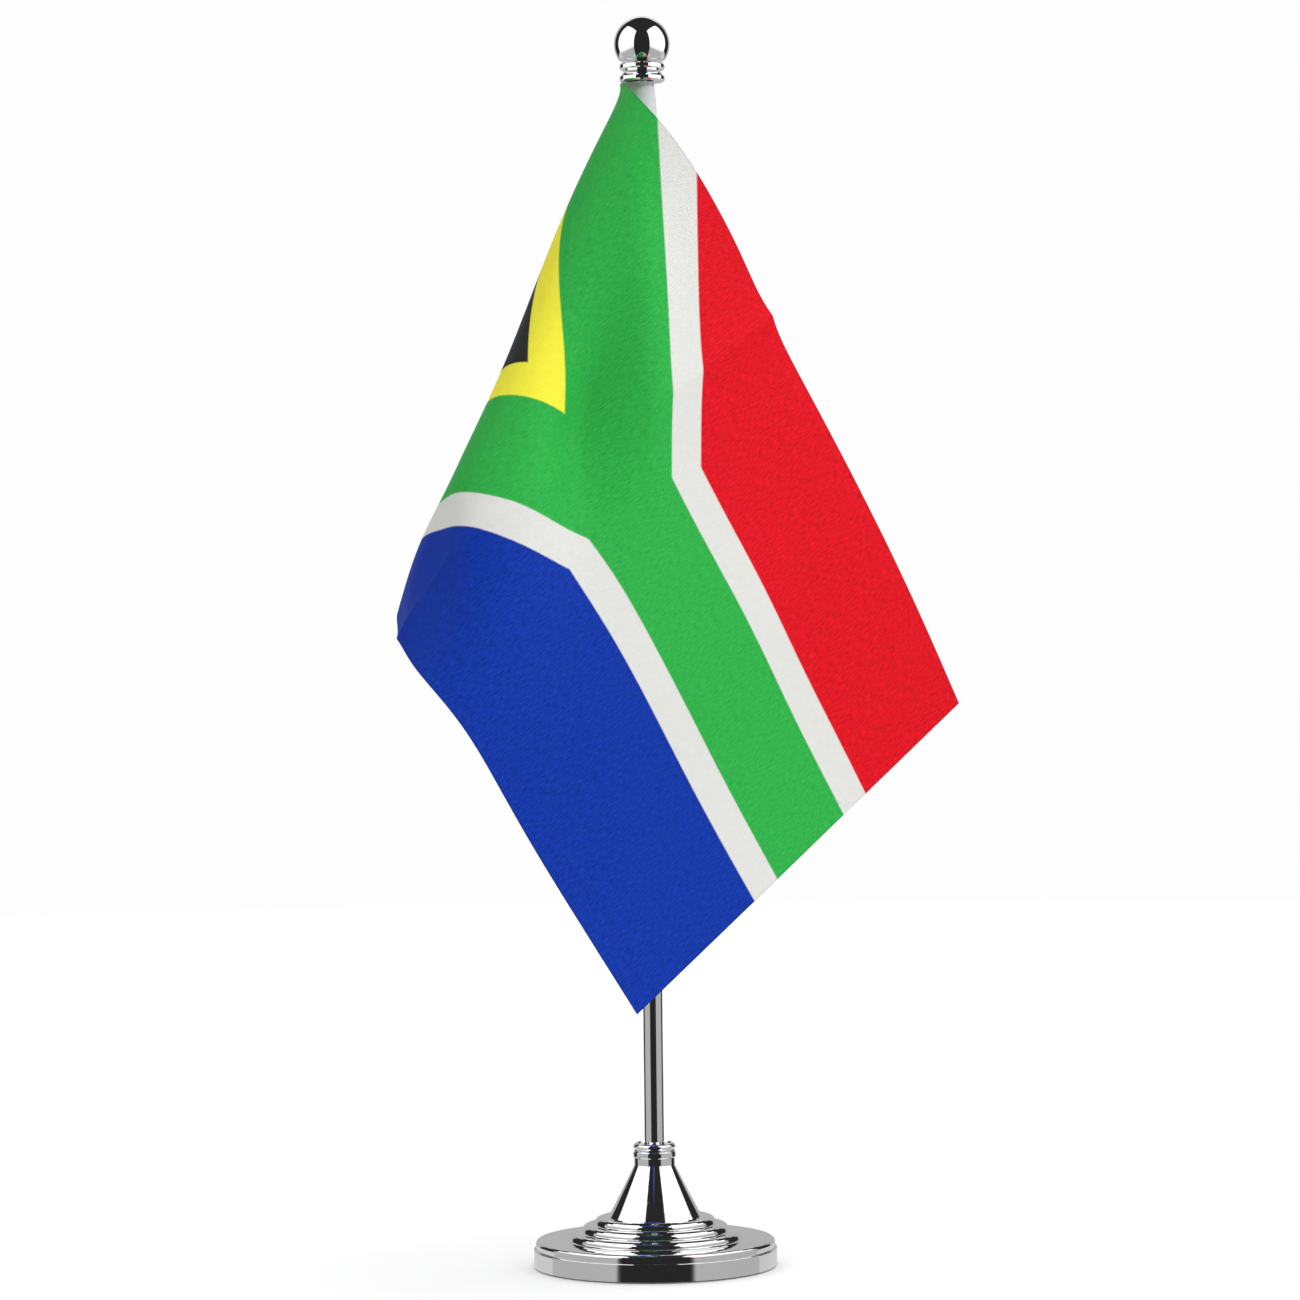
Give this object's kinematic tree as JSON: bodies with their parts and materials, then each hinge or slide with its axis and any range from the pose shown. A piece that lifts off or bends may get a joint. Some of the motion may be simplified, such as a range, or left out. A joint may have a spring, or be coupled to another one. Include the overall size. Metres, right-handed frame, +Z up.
{
  "type": "desk flag stand",
  "caption": "Small table flag on a slim chrome pole with a ball finial, a bell neck and a stepped round base; the flag hangs from a pocket round the pole and turns on it.",
  "frame": {"origin": "centre of the foot pad's underside, on the pole's axis, where the stand rests on a table", "axes": "+Z up along the pole, -Y towards the flag's front, +X to the viewer's right"},
  "size_m": [0.1403, 0.1116, 0.3189],
  "materials": {
    "chrome": "mirror-bright chrome plate",
    "steel": "plain zinc-plated steel",
    "iron": "rough sand-cast",
    "pad": "soft black foam rubber",
    "cloth": "satin polyester, printed in six colours",
    "pocket": "plain white polyester",
    "thread": "white polyester thread"
  },
  "bodies": {
    "base": {"base_shell": "chrome", "base_weight": "iron", "base_plate": "steel", "base_pad": "pad", "base_screw": "steel", "base_washer": "steel", "neck_bell": "chrome", "neck_collar": "chrome"},
    "pole": {"pole_tube": "chrome", "pole_foot": "steel", "pole_tip": "steel"},
    "finial": {"finial_collar": "chrome", "finial_ball": "chrome", "finial_stud": "steel"},
    "flag": {"flag_cloth": "cloth", "flag_sleeve": "pocket", "sleeve_top": "pocket", "sleeve_stitching": "thread"}
  },
  "joints": [
    {"name": "pole_unscrew", "type": "slide", "parent": "base", "child": "pole", "axis": [0, 0, 1], "range_m": [0, 0.012]},
    {"name": "finial_unscrew", "type": "slide", "parent": "pole", "child": "finial", "axis": [0, 0, 1], "range_m": [0, 0.009]},
    {"name": "flag_swivel", "type": "hinge", "parent": "pole", "child": "flag", "pos_m": [0, 0, 0.234], "axis": [0, 0, 1], "continuous": true}
  ]
}
